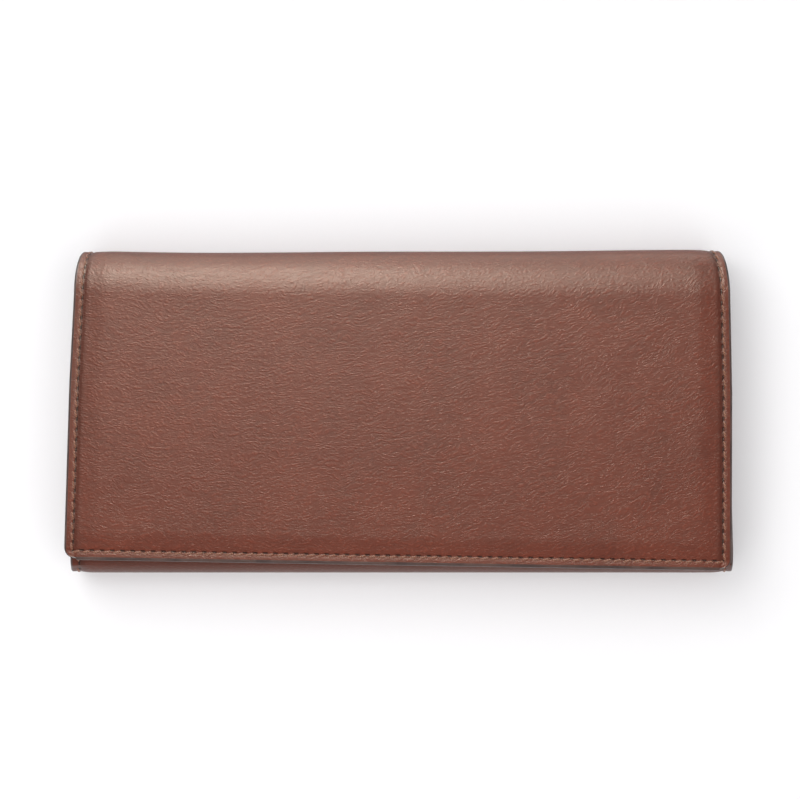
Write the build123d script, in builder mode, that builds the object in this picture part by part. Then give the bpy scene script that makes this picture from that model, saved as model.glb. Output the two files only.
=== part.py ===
"""Long flap wallet: one outer leather strap that turns under the body, up the back, over the fold
and down as the flap, round a zipped coin pocket between two note compartments.

X runs along the wallet, +Y from the bottom turn to the fold, and +Z from the back face up through
the layers to the flap. The origin is on the back face, under the middle. Millimetres.
"""

import os

from build123d import *

# Driving dimensions
flap_width = 190.0  # across the flap's free edge
body_width = 188.5  # across the bottom turn
fold_width = 186.5  # across the fold
height = 92.0  # bottom turn to fold, outside
flap_reveal = 2.7  # how much of the bottom turn shows below the flap's free edge
fold_radius = 7.0  # outside radius of the two creases at the fold
turn_radius = 8.0  # outside radius of the bottom turn's two corners
flap_corner = 3.2

# Layers, from the back face up
leather = 1.0
board = 0.4
lining = 0.5
core = 0.9
strip_layer = 0.4  # one card pocket: its sheet and the seam under it
strip_seam = 0.1
strip_count = 4
board_inset = 0.8  # the boards and the core stop this far short of the painted edges
note_space = 4.3  # clear depth of each note compartment
pocket_depth = 7.6  # coin pocket, outside
pocket_wall = 0.7
flap_gap = 0.4

# Stitching, sunk in a groove so that it stands no higher than the leather
seam_margin = 2.1
seam_width = 0.6
groove_width = 0.8
groove_depth = 0.4
thread_top = 0.05  # depth of the thread's upper side below the leather
thread_bottom = 0.35

# Levels that follow
wall = leather + board + lining
strips_top = wall + strip_count * strip_layer
pocket_low = strips_top + note_space
pocket_high = pocket_low + pocket_depth
front_low = pocket_high + note_space
front_top = front_low + wall
flap_low = front_top + flap_gap
thickness = flap_low + lining + core + leather

bottom = -height / 2
fold = height / 2
free_edge = bottom + flap_reveal
turn_start = bottom + turn_radius
fold_start = fold - fold_radius
front_edge = fold - 13.0  # the front wall's upper edge, set back from the fold
crease_gap = 0.4  # degrees of clearance each side of a crease

# Card pockets on the back wall
card_half = 87.5
card_drop = 45.0
card_step = 11.0
first_strip_edge = 36.0
mid_seam = 2.0

# Side gussets, as distances from the middle
gusset = 0.5
gusset_outer = 92.6
gusset_turn = 91.2
gusset_tip = 83.6
gusset_low = turn_start + 0.3
gusset_high = 28.0

# Coin pocket and its zip
pocket_half = 89.5
pocket_bottom = -43.2
pocket_edge = 25.4  # upper edge of the pocket's walls
pocket_mid = (pocket_low + pocket_high) / 2
tape = 0.4
tape_level = 28.0  # the zip's plane
tape_drop = 17.0
tape_half = 86.0
tape_slot = 2.2  # between the two tapes' edges
tooth_pitch = 2.0
tooth_width = 0.94
tooth_height = 2.0
tooth_base = 1.7  # from the zip's middle to the back of a tooth
tooth_nose = 0.45  # how far a tooth reaches past the middle
chain_start = -78.0
chain_end = 73.0
seat = 0.15  # clearance of the slider round the chain
slider_x = 72.0
slider_length = 9.0
slider_plate = 0.9
slider_half = 2.6
pull_level = tape_level + tooth_height / 2 + seat + slider_plate + 1.1
pin_radius = 0.55
pin_clearance = 0.07
pull_reach = 11.0

magnet_radius = 6.0
magnet_places = [(-48.0, -31.0), (48.0, -31.0)]

os.makedirs("parts", exist_ok=True)


def save(piece, label):
    piece.part.label = label
    export_step(piece.part, f"parts/{label}.step")


# Shapes that several pieces share


def sector(centre, outer, inner, start, sweep):
    """Draws a bend in a sheet, seen end on, from outer radius to inner radius."""
    with BuildLine() as edge:
        rim = CenterArc(centre, outer, start, sweep)
        hollow = CenterArc(centre, inner, start, sweep)
        Line(rim @ 0, hollow @ 0)
        Line(rim @ 1, hollow @ 1)
    make_face(edge.edges())


def block(y_low, y_high, z_low, z_high):
    """Draws a flat stretch of sheet, seen end on."""
    with Locations(((y_low + y_high) / 2, (z_low + z_high) / 2)):
        Rectangle(y_high - y_low, z_high - z_low)


def half_bend(centre, radius, near, far, start):
    """Half of a right-angle bend, cut short of the crease by the clearance."""
    low_end = start % 90 == 0
    sector(centre, radius - near, radius - far, start if low_end else start + crease_gap, 45 - crease_gap)


def back_run(near, far):
    """The strap's back, between two depths below its outer face."""
    block(turn_start, fold_start, near, far)
    half_bend((fold_start, fold_radius), fold_radius, near, far, -90)


def bottom_run(near, far):
    """The strap's bottom turn, up to the front crease."""
    sector((turn_start, turn_radius), turn_radius - near, turn_radius - far, 180, 90)
    block(bottom + near, bottom + far, turn_radius, front_top - turn_radius)
    half_bend((turn_start, front_top - turn_radius), turn_radius, near, far, 135)


def front_run(near, far):
    """The strap's front wall, from the front crease to its upper edge."""
    half_bend((turn_start, front_top - turn_radius), turn_radius, near, far, 90)
    block(turn_start, front_edge, front_top - far, front_top - near)


def spine_run(near, far):
    """The strap over the fold, between its two creases."""
    half_bend((fold_start, fold_radius), fold_radius, near, far, -45)
    block(fold - far, fold - near, fold_radius, thickness - fold_radius)
    half_bend((fold_start, thickness - fold_radius), fold_radius, near, far, 0)


def flap_run(near, far):
    """The strap's flap, from the flap crease to its free edge."""
    half_bend((fold_start, thickness - fold_radius), fold_radius, near, far, 45)
    block(free_edge, fold_start, thickness - far, thickness - near)


def body_outline(inset=0.0, low=bottom, high=fold):
    """Draws the body's plan, which narrows a little towards the fold."""
    slope = (body_width - fold_width) / 2 / height
    low_half = body_width / 2 - slope * (low - bottom) - inset
    high_half = body_width / 2 - slope * (high - bottom) - inset
    with BuildLine() as edge:
        Polyline((-low_half, low), (low_half, low), (high_half, high), (-high_half, high), close=True)
    make_face(edge.edges())


def flap_outline(inset=0.0, high=fold):
    """Draws the flap's plan, widest at its free edge, with two round corners."""
    low = free_edge + inset
    low_half = flap_width / 2 - inset
    high_half = fold_width / 2 - inset
    with BuildLine() as edge:
        Polyline((-low_half, low), (low_half, low), (high_half, high), (-high_half, high), close=True)
    face = make_face(edge.edges())
    fillet(face.vertices().group_by(Axis.Y)[0], max(flap_corner - inset, 0.5))


def cut_grooves(run, inset=seam_margin):
    """Sinks a stitch groove along both sides of a strap section."""
    for side in (-1, 1):
        with BuildSketch(Plane.YZ.offset(side * (fold_width / 2 - inset))) as groove:
            run(-0.1, groove_depth)
        extrude(groove.sketch, amount=groove_width / 2, both=True, mode=Mode.SUBTRACT)


# The outer strap. The real one is a single strip of leather. It is cut here at its three creases,
# each on its outer face, so that every section can turn.

with BuildPart() as back_leather:
    with BuildSketch(Plane.YZ):
        back_run(0, leather)
    extrude(amount=body_width / 2, both=True)
    with BuildSketch():
        body_outline()
    extrude(amount=fold_radius, mode=Mode.INTERSECT)
    cut_grooves(back_run)
save(back_leather, "back_leather")

with BuildPart() as bottom_leather:
    with BuildSketch(Plane.YZ):
        bottom_run(0, leather)
    extrude(amount=body_width / 2, both=True)
    cut_grooves(bottom_run)
save(bottom_leather, "bottom_leather")

with BuildPart() as front_leather:
    with BuildSketch(Plane.YZ):
        front_run(0, leather)
    extrude(amount=body_width / 2, both=True)
    with BuildSketch():
        body_outline()
    extrude(amount=thickness, mode=Mode.INTERSECT)
    cut_grooves(front_run)
save(front_leather, "front_leather")

with BuildPart() as spine_leather:
    with BuildSketch(Plane.YZ):
        spine_run(0, leather)
    extrude(amount=fold_width / 2, both=True)
    cut_grooves(spine_run)
save(spine_leather, "spine_leather")


def flap_seam(width):
    """Draws the U of stitching along the flap's three free edges."""
    low_half = flap_width / 2 - seam_margin
    high_half = fold_width / 2 - seam_margin
    low = free_edge + seam_margin
    with BuildLine() as seam:
        Polyline((-high_half, fold_start), (-low_half, low), (low_half, low), (high_half, fold_start))
    trace(seam.edges(), line_width=width)


with BuildPart() as flap_leather:
    with BuildSketch(Plane.YZ):
        flap_run(0, leather)
    extrude(amount=flap_width / 2, both=True)
    with BuildSketch():
        flap_outline()
    extrude(amount=thickness, mode=Mode.INTERSECT)
    with BuildSketch(Plane.XY.offset(thickness)):
        flap_seam(groove_width)
    extrude(amount=-groove_depth, mode=Mode.SUBTRACT)
save(flap_leather, "flap_leather")

# Stitching: one thread solid along each run


def side_threads(run, label):
    with BuildPart() as threads:
        for side in (-1, 1):
            with BuildSketch(Plane.YZ.offset(side * (fold_width / 2 - seam_margin))):
                run(thread_top, thread_bottom)
            extrude(amount=seam_width / 2, both=True)
    save(threads, label)


side_threads(back_run, "back_thread")
side_threads(bottom_run, "bottom_thread")
side_threads(front_run, "front_thread")
side_threads(spine_run, "spine_thread")

with BuildPart() as flap_thread:
    with BuildSketch(Plane.XY.offset(thickness - thread_bottom)):
        flap_seam(seam_width)
    extrude(amount=thread_bottom - thread_top)
save(flap_thread, "flap_thread")

# Back wall: board and lining, and the card pockets sewn on the lining

with BuildPart() as back_board:
    with BuildSketch(Plane.XY.offset(leather)):
        body_outline(inset=board_inset, low=turn_start, high=fold_start)
    extrude(amount=board)
save(back_board, "back_board")

with BuildPart() as back_lining:
    with BuildSketch(Plane.XY.offset(leather + board)):
        body_outline(low=turn_start, high=fold_start)
    extrude(amount=lining)
save(back_lining, "back_lining")

with BuildPart() as bottom_lining:
    with BuildSketch(Plane.YZ):
        block(bottom + leather, bottom + leather + lining, turn_radius, front_top - turn_radius)
    extrude(amount=body_width / 2 - 1, both=True)
save(bottom_lining, "bottom_lining")

for number in range(strip_count):
    strip_edge = first_strip_edge - number * card_step
    strip_base = strip_edge - card_drop
    seam_level = wall + number * strip_layer
    with BuildPart() as card_strip:
        with BuildSketch(Plane.XY.offset(seam_level + strip_seam)):
            with Locations((0, (strip_edge + strip_base) / 2)):
                Rectangle(2 * card_half, card_drop)
        extrude(amount=strip_layer - strip_seam)
        with BuildSketch(Plane.XY.offset(seam_level)):
            with Locations((0, (strip_edge + strip_base) / 2)):
                Rectangle(2 * card_half, card_drop)
            for side in (-1, 1):
                slot_half = (card_half - 1.5 * mid_seam) / 2
                with Locations((side * (mid_seam / 2 + slot_half), strip_edge - card_drop / 2 + mid_seam)):
                    Rectangle(2 * slot_half, card_drop, mode=Mode.SUBTRACT)
        extrude(amount=strip_seam)
    save(card_strip, f"card_strip_{number + 1}")

# Front wall: board with two steel keepers for the flap's magnets, and lining

with BuildPart() as front_board:
    with BuildSketch(Plane.XY.offset(front_low + lining)):
        body_outline(inset=board_inset, low=turn_start, high=front_edge - board_inset)
        with Locations(*magnet_places):
            Circle(magnet_radius + 0.1, mode=Mode.SUBTRACT)
    extrude(amount=board)
save(front_board, "front_board")

with BuildPart() as front_keepers:
    with BuildSketch(Plane.XY.offset(front_low + lining)):
        with Locations(*magnet_places):
            Circle(magnet_radius)
    extrude(amount=board)
save(front_keepers, "front_keepers")

with BuildPart() as front_lining:
    with BuildSketch(Plane.XY.offset(front_low)):
        body_outline(low=turn_start, high=front_edge)
    extrude(amount=lining)
save(front_lining, "front_lining")

# Fold lining and flap: core with its magnets, and lining

with BuildPart() as spine_lining:
    with BuildSketch(Plane.YZ):
        spine_run(leather, leather + lining)
    extrude(amount=fold_width / 2, both=True)
save(spine_lining, "spine_lining")

with BuildPart() as flap_core:
    with BuildSketch(Plane.XY.offset(flap_low + lining)):
        flap_outline(inset=board_inset, high=fold_start)
        with Locations(*magnet_places):
            Circle(magnet_radius + 0.1, mode=Mode.SUBTRACT)
    extrude(amount=core)
save(flap_core, "flap_core")

with BuildPart() as flap_magnets:
    with BuildSketch(Plane.XY.offset(flap_low + lining)):
        with Locations(*magnet_places):
            Circle(magnet_radius)
    extrude(amount=core)
save(flap_magnets, "flap_magnets")

with BuildPart() as flap_lining:
    with BuildSketch(Plane.XY.offset(flap_low)):
        flap_outline(high=fold_start)
    extrude(amount=lining)
save(flap_lining, "flap_lining")

# Side gussets: each is a strip folded inwards, sewn to a wall and to the coin pocket


def gusset_fold(side, wall_level, pocket_level):
    """Draws a gusset end on, from its flange on the wall, in to its tip and out to the pocket."""
    rise = 1 if pocket_level > wall_level else -1
    near = wall_level + rise * gusset / 2
    far = pocket_level - rise * gusset / 2
    strips = strip_count * strip_layer if rise > 0 else 0.0
    tip = (near + rise * strips + far) / 2
    with BuildLine() as fold_line:
        FilletPolyline(
            (side * gusset_outer, near),
            (side * gusset_turn, near),
            (side * gusset_tip, tip),
            (side * (pocket_half - 1.5), far),
            (side * pocket_half, far),
            radius=0.6,
        )
    trace(fold_line.edges(), line_width=gusset)


for end_name, side in (("left", -1), ("right", 1)):
    for place, wall_level, pocket_level in (("rear", wall, pocket_low), ("front", front_low, pocket_high)):
        with BuildPart() as side_gusset:
            # Plane.XZ looks along +Y from behind, so its normal is -Y
            with BuildSketch(Plane.XZ.offset(-gusset_high)):
                gusset_fold(side, wall_level, pocket_level)
            extrude(amount=gusset_high - gusset_low)
        save(side_gusset, f"gusset_{place}_{end_name}")

# Coin pocket: two walls, the strip that closes its ends and bottom, and the zip


def pocket_outline(half):
    with Locations((0, (pocket_bottom + pocket_edge) / 2)):
        Rectangle(2 * half, pocket_edge - pocket_bottom)


for place, wall_level in (("rear", pocket_low), ("front", pocket_high - pocket_wall)):
    with BuildPart() as pocket_panel:
        with BuildSketch(Plane.XY.offset(wall_level)):
            pocket_outline(pocket_half)
            fillet(vertices().group_by(Axis.Y)[0], 3.0)
        extrude(amount=pocket_wall)
    save(pocket_panel, f"coin_wall_{place}")

with BuildPart() as coin_gusset:
    with BuildSketch(Plane.XY.offset(pocket_low + pocket_wall)):
        with BuildLine() as strip_line:
            FilletPolyline(
                (-(pocket_half - 1.5), pocket_edge),
                (-(pocket_half - 1.5), pocket_bottom + 1.5),
                (pocket_half - 1.5, pocket_bottom + 1.5),
                (pocket_half - 1.5, pocket_edge),
                radius=3.0,
            )
        trace(strip_line.edges(), line_width=gusset)
    extrude(amount=pocket_depth - 2 * pocket_wall)
save(coin_gusset, "coin_gusset")

for place, side in (("rear", -1), ("front", 1)):
    inner_face = side * (pocket_depth / 2 - pocket_wall)
    with BuildPart() as zip_tape:
        with BuildSketch(Plane.YZ):
            with Locations((tape_level, pocket_mid + (inner_face + side * tape_slot / 2) / 2)):
                Rectangle(tape, abs(inner_face) - tape_slot / 2)
            with Locations(((tape_drop + tape_level) / 2, pocket_mid + inner_face - side * tape / 2)):
                Rectangle(tape_level - tape_drop + tape, tape)
        extrude(amount=tape_half, both=True)
    save(zip_tape, f"zip_tape_{place}")

for place, side in (("rear", -1), ("front", 1)):
    shift = 0.0 if side < 0 else tooth_pitch / 2
    count = int((chain_end - chain_start - shift) / tooth_pitch) + 1
    places = [(chain_start + shift + k * tooth_pitch, tape_level) for k in range(count)]
    back_of_tooth = pocket_mid + side * tooth_base
    reach = tooth_base + tooth_nose
    with BuildPart() as zip_teeth:
        # Plane.XY sections, stacked up Z from the back of the tooth to its nose
        with BuildSketch(Plane.XY.offset(back_of_tooth)):
            with Locations(*places):
                Rectangle(tooth_width, tooth_height)
        extrude(amount=-side * reach)
        with BuildSketch(Plane.XY.offset(back_of_tooth)):
            with Locations(*places):
                Rectangle(tooth_width, tape)
        extrude(amount=-side * (tooth_base - tape_slot / 2), mode=Mode.SUBTRACT)
    save(zip_teeth, f"zip_teeth_{place}")

with BuildPart() as zip_stops:
    stop_half = tape_slot / 2 + 0.8
    with BuildSketch(Plane.YZ.offset(chain_start - 2.6)):
        with Locations((tape_level, pocket_mid)):
            Rectangle(1.8, 2 * stop_half)
            for side in (-1, 1):
                with Locations((0, side * (tape_slot / 2 + 0.4))):
                    Rectangle(tape, 0.8, mode=Mode.SUBTRACT)
    extrude(amount=1.4)
    for side in (-1, 1):
        with BuildSketch(Plane.YZ.offset(slider_x + slider_length / 2 + 0.4)):
            with Locations((tape_level, pocket_mid + side * (tape_slot / 2 + 0.2))):
                Rectangle(1.8, 1.2)
                with Locations((0, side * 0.2)):
                    Rectangle(tape, 0.8, mode=Mode.SUBTRACT)
        extrude(amount=1.6)
save(zip_stops, "zip_stops")

# Zip slider: two plates with flanges that ride either side of the tapes, joined by the post that
# parts the teeth, and an arch that holds the pull

with BuildPart() as zip_slider:
    chain_half = tooth_height / 2 + seat
    for side in (-1, 1):
        plate_level = tape_level + side * (chain_half + slider_plate / 2)
        with BuildSketch(Plane.XZ.offset(-plate_level)):
            with Locations((slider_x, pocket_mid)):
                RectangleRounded(slider_length, 2 * slider_half, 1.4)
        extrude(amount=slider_plate / 2, both=True)
        for edge in (-1, 1):
            flange_high = tape_level + side * chain_half
            flange_low = tape_level + side * tape
            with BuildSketch(Plane.YZ.offset(slider_x)):
                with Locations(((flange_high + flange_low) / 2, pocket_mid + edge * (slider_half - 0.35))):
                    Rectangle(abs(flange_high - flange_low), 0.7)
            extrude(amount=slider_length / 2 - 1.4, both=True)
    with BuildSketch(Plane.XZ.offset(-tape_level)):
        with Locations((slider_x + slider_length / 2 - 1.2, pocket_mid)):
            RectangleRounded(1.6, 1.2, 0.5)
    extrude(amount=chain_half, both=True)
    with BuildSketch(Plane.XY.offset(pocket_mid)):
        with Locations((slider_x, pull_level - 0.1)):
            RectangleRounded(5.0, 2.6, 1.0)
        with Locations((slider_x, pull_level)):
            Circle(pin_radius + pin_clearance, mode=Mode.SUBTRACT)
    extrude(amount=0.6, both=True)
save(zip_slider, "zip_slider")

with BuildPart() as zip_pull:
    with BuildSketch(Plane.XY.offset(pocket_mid)):
        with Locations((slider_x, pull_level)):
            Circle(pin_radius)
    extrude(amount=1.7, both=True)
    for edge in (-1, 1):
        with BuildSketch(Plane.XY.offset(pocket_mid + edge * 1.3)):
            with Locations((slider_x - 2.0, pull_level)):
                SlotOverall(5.2, 1.1)
        extrude(amount=0.4, both=True)
    with BuildSketch(Plane.XZ.offset(-pull_level)):
        with Locations((slider_x - (4.0 + pull_reach) / 2, pocket_mid)):
            RectangleRounded(pull_reach - 4.0, 4.4, 1.0)
        with Locations((slider_x - pull_reach + 2.4, pocket_mid)):
            Circle(1.0, mode=Mode.SUBTRACT)
    extrude(amount=0.45, both=True)
save(zip_pull, "zip_pull")
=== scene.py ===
import math

import bmesh
import bpy
import numpy as np
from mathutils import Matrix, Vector


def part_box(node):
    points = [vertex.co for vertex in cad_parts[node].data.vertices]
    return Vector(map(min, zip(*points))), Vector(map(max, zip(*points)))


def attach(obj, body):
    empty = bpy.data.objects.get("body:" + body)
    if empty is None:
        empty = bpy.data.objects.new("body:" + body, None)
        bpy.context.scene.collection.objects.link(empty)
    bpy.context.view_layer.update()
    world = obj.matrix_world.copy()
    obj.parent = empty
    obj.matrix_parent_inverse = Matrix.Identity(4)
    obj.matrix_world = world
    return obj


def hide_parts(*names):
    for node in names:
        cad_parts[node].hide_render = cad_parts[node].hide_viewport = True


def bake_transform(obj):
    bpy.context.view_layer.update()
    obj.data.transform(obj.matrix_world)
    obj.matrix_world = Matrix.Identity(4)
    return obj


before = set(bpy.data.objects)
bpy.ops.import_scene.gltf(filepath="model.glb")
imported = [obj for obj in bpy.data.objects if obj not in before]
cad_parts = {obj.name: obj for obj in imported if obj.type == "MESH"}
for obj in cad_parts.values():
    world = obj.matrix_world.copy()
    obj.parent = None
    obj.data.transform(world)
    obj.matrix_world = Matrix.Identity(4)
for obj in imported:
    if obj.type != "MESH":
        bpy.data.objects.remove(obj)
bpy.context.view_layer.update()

scene = bpy.context.scene
scene.view_settings.view_transform = "Standard"

MM = 0.001

# ---- positions from the CAD model, in mm
flap_lo, flap_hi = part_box("flap_leather")
front_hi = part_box("front_leather")[1]
bottom_lo, bottom_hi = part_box("bottom_leather")
spine_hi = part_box("spine_leather")[1]

TOP = flap_hi.z / MM
FRONT_TOP = front_hi.z / MM
BOTTOM = bottom_lo.y / MM
FOLD = spine_hi.y / MM
FREE_EDGE = flap_lo.y / MM
FRONT_EDGE = front_hi.y / MM
LINING_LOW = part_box("flap_lining")[0].z / MM
FOLD_R = 7.0  # rise of the fold's two creases
FOLD_REACH = 13.0  # the fold rolls over gently into the flap
TURN_R = 8.0  # radius of the bottom turn's two creases
LEATHER = 1.0
LINING = 0.5
BODY_HALF = bottom_hi.x / MM
FOLD_HALF = spine_hi.x / MM
FLAP_HALF = flap_hi.x / MM
EDGE_REACH = 0.45  # how far the rounded, painted edges stand out
SEAM = 1.7  # from the face's side, inside the rounded edge, to the stitches
LOW_SEAM = 2.0  # the same along the free edge
PITCH = 2.9  # from stitch to stitch
PAINT_LAP = 0.2  # how far the edge paint laps onto the face
FOLD_PINCH = 2.4  # how far the fold's ends draw in
FLAP_SHIFT = 0.25  # the flap lies a little to the right
FLAP_REST = 0.33  # how far its free edge sinks towards the front wall
FLAP_TURN = math.radians(0.96)  # the flap lies a degree off square
FLAP_CORNER = 3.2
FLAP_FLARE = 0.75  # how much the flap still widens each side after its first widening
FLAP_FLARE_RUN = 26.0  # the length of that first widening
FRONT_EASE = 1.2  # how much narrower than the fold the front wall's edge is, each side
TURN_SPREAD = 0.4  # how far the bottom turn bulges each side
INNER_INSET = 0.35  # how much narrower a sheet's inner face is, inside its rounded edge
FAR = 99.0  # a seam distance that is out of reach


# ---- small maths helpers
def smooth(lo, hi, v):
    t = np.clip((np.asarray(v, float) - lo) / (hi - lo), 0.0, 1.0)
    return t * t * (3.0 - 2.0 * t)


def bump(v, centre, width):
    return np.exp(-(((np.asarray(v, float) - centre) / width) ** 2))


# ---- the strap's path, seen end on
class Path:
    """The strap's outer face from the front wall's edge to the flap's free edge, by length along it."""

    def __init__(self):
        turn, fold = BOTTOM + TURN_R, FOLD - FOLD_R
        quarter = math.pi / 2
        self.runs = []
        self.marks = {}
        self.length = 0.0
        self._line("front", (FRONT_EDGE, FRONT_TOP), (turn, FRONT_TOP))
        self._arc("front_crease", (turn, FRONT_TOP - TURN_R), TURN_R, quarter)
        self._line("bottom", (BOTTOM, FRONT_TOP - TURN_R), (BOTTOM, TURN_R))
        self._arc("bottom_crease", (turn, TURN_R), TURN_R, 2 * quarter)
        self._line("back", (turn, 0.0), (fold, 0.0))
        self._arc("rear_crease", (fold, FOLD_R), FOLD_R, 3 * quarter)
        self._line("spine", (FOLD, FOLD_R), (FOLD, TOP - FOLD_R))
        self._arc("flap_crease", (FOLD - FOLD_REACH, TOP - FOLD_R), FOLD_R, 4 * quarter, FOLD_REACH)
        self._line("flap", (FOLD - FOLD_REACH, TOP), (FREE_EDGE + EDGE_REACH / 2, TOP))

    def _add(self, name, size, point):
        self.marks[name] = self.length
        self.runs.append((self.length, self.length + size, point))
        self.length += size

    def _line(self, name, start, end):
        a, b = np.array(start), np.array(end)
        size = float(np.linalg.norm(b - a))
        d = (b - a) / size
        out = np.array([-d[1], d[0]])
        self._add(name, size, lambda t: (a + d * t, -out))

    def _arc(self, name, centre, rise, start, reach=None):
        """A quarter turn, round or with a longer reach in Y than its rise in Z."""
        c = np.array(centre)
        radii = np.array([reach or rise, rise])
        size = math.pi / 2 * float(np.sqrt((radii**2).mean()))

        def point(t):
            angle = start + t / size * math.pi / 2
            ray = np.array([math.cos(angle), math.sin(angle)])
            out = ray / radii
            return c + ray * radii, out / np.linalg.norm(out)

        self._add(name, size, point)

    def at(self, s):
        """Positions (y, z) and outward normals at lengths s."""
        pos, out = np.zeros((len(s), 2)), np.zeros((len(s), 2))
        for k, v in enumerate(s):
            v = min(max(v, 0.0), self.length)
            for lo, hi, point in self.runs:
                if v <= hi + 1e-9:
                    pos[k], out[k] = point(v - lo)
                    break
        return pos, out


path = Path()
M = path.marks
END = path.length


def half_width(s):
    """Half the strap's width: even in the body, narrower at the fold, wide at the flap's free edge."""
    marks = [0.0, M["bottom"], M["back"], M["rear_crease"], M["flap"], M["flap"] + FLAP_FLARE_RUN, END]
    halves = [
        FOLD_HALF - FRONT_EASE,
        BODY_HALF - EDGE_REACH + TURN_SPREAD,
        BODY_HALF - EDGE_REACH + TURN_SPREAD / 2,
        FOLD_HALF - EDGE_REACH,
        FOLD_HALF - EDGE_REACH,
        FLAP_HALF - EDGE_REACH - FLAP_FLARE,
        FLAP_HALF - EDGE_REACH,
    ]
    out_of_fold = smooth(M["flap_crease"], M["flap"], s) ** 0.6
    into_fold = smooth(M["rear_crease"], M["spine"], s) * (1.0 - out_of_fold)
    return np.interp(s, marks, halves) - FOLD_PINCH * into_fold


SEAM_BACK = (M["back"] + M["rear_crease"]) / 2
SEAM_SPINE = (M["spine"] + M["flap_crease"]) / 2
CREASE_FRONT = (M["front_crease"] + M["bottom"]) / 2
SEAM_LOW = END - LOW_SEAM
FLAP_SIDE_RUN = SEAM_LOW - SEAM_SPINE
FLAP_LOW_RUN = 2 * float(half_width(SEAM_LOW) - SEAM)


def fit_pitch(run):
    return run / round(run / PITCH)


FLAP_SIDE_PITCH = fit_pitch(FLAP_SIDE_RUN)
FLAP_LOW_PITCH = fit_pitch(FLAP_LOW_RUN)


def body_marks(x, s, half):
    """Against each seam: how far inside it a point lies, and how many stitches along."""
    side = [half - np.abs(x) - SEAM, (s - SEAM_BACK) / PITCH + 0 * x]
    return side + [np.full(x.shape, FAR), 0 * x]


def flap_marks(x, s, half):
    side = [half - np.abs(x) - SEAM, (s - SEAM_SPINE) / FLAP_SIDE_PITCH + 0 * x]
    return side + [SEAM_LOW - s + 0 * x, (x + FLAP_LOW_RUN / 2) / FLAP_LOW_PITCH]


def settle(x, s, y, z):
    """The soft set of the leather: the flap turned a little on its fold, and the fold's slow waves."""
    w = smooth(M["spine"] + 3.0, M["flap"] + 14.0, s)
    fold_y = FOLD - FOLD_R
    shift = FLAP_TURN * w
    new_y = y - shift * x
    new_x = x + shift * (y - fold_y) + FLAP_SHIFT * w
    sag = smooth(M["rear_crease"], M["spine"] + 2.0, s) * (1 - smooth(M["flap"], M["flap"] + 30.0, s))
    drift = 0.45 * np.sin((x - 18.0) / 33.0) + 0.2 * np.sin((x + 40.0) / 17.0)
    new_y = new_y + sag * (drift - 0.05)
    return new_x, new_y, z


def flap_rest(s):
    """How far the whole flap has sunk towards the front wall, growing to its free edge."""
    return FLAP_REST * np.clip((s - M["flap"]) / (END - M["flap"]), 0.0, 1.0) ** 2


def flap_relief(x, s, half):
    """Height of the flap's face against its flat plane: raised over the core, dropped at the seam."""
    from_side = half - np.abs(x)
    from_edge = END - s
    side = 1.0 - smooth(SEAM, 9.5, from_side)
    edge = 1.0 - smooth(SEAM, 8.0, from_edge)
    on_flap = smooth(M["flap_crease"] - 4.0, M["flap"] + 6.0, s)
    border = 1.0 - (1.0 - 0.55 * side) * (1.0 - 0.42 * edge)
    drop = -border * on_flap - 0.35 * side * (1 - on_flap)
    groove = -0.13 * (bump(from_side, SEAM, 0.5) + bump(from_edge, LOW_SEAM, 0.5))
    gutter = -0.20 * bump(from_side, SEAM + 0.75, 0.55) - 0.07 * bump(from_edge, LOW_SEAM + 0.6, 0.5)
    roll = -0.2 * (1.0 - smooth(0.0, SEAM, from_side)) * on_flap
    crown = 0.3 * (np.cos(np.clip(x / half, -1, 1) * math.pi / 2) - 1.0) * on_flap
    return drop + groove + gutter + roll + crown - flap_rest(s)


def body_relief(x, s, half):
    from_side = half - np.abs(x)
    border = 1.0 - smooth(1.0, 6.0, from_side)
    groove = -0.14 * bump(from_side, SEAM, 0.5) - 0.1 * bump(from_side, SEAM + 0.7, 0.5)
    # at the front crease the face stays on the hinge line
    return (groove - 0.35 * border) * (1.0 - bump(s, CREASE_FRONT, 1.2))


def spaced(lo, hi, step):
    return list(np.linspace(lo, hi, max(2, int(round((hi - lo) / step)) + 1)))


def across_samples(coarse, fine):
    """Positions across the strap as -1 to 1 of the half width, close together at the seams."""
    half = FLAP_HALF
    edge_band = (half - 6.5) / half
    seam_lo, seam_hi = (half - 3.4) / half, (half - 0.9) / half
    outer = spaced(edge_band, seam_lo, 0.5 / half) + spaced(seam_lo, seam_hi, fine / half)[1:]
    outer += spaced(seam_hi, 1.0 - PAINT_LAP / half, 0.3 / half)[1:] + [1.0]
    middle = spaced(-edge_band, edge_band, coarse / half)
    return np.array([-v for v in reversed(outer)] + middle[1:-1] + outer)


def grid_faces(rows, cols, first, flip=False):
    idx = first + np.arange(rows * cols).reshape(rows, cols)
    a, b, c, d = idx[:-1, :-1], idx[:-1, 1:], idx[1:, 1:], idx[1:, :-1]
    quads = np.stack([a, b, c, d], -1).reshape(-1, 4)
    if flip:
        quads = quads[:, ::-1]
    return [tuple(q) for q in quads]


def make_object(name, verts, faces, mats, mat_index=None, uv=None, smooth_faces=True):
    mesh = bpy.data.meshes.new(name)
    mesh.from_pydata([tuple(v) for v in np.asarray(verts) * MM], [], faces)
    for m in mats:
        mesh.materials.append(m)
    if mat_index is not None:
        mesh.polygons.foreach_set("material_index", np.asarray(mat_index, np.int32))
    mesh.polygons.foreach_set("use_smooth", np.full(len(mesh.polygons), smooth_faces))
    if uv is not None:
        layer = mesh.uv_layers.new(name="strap")
        loops = np.zeros(len(mesh.loops), np.int32)
        mesh.loops.foreach_get("vertex_index", loops)
        layer.data.foreach_set("uv", (np.asarray(uv, float)[loops] * MM).ravel())
    mesh.validate()
    obj = bpy.data.objects.new(name, mesh)
    scene.collection.objects.link(obj)
    return obj


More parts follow.
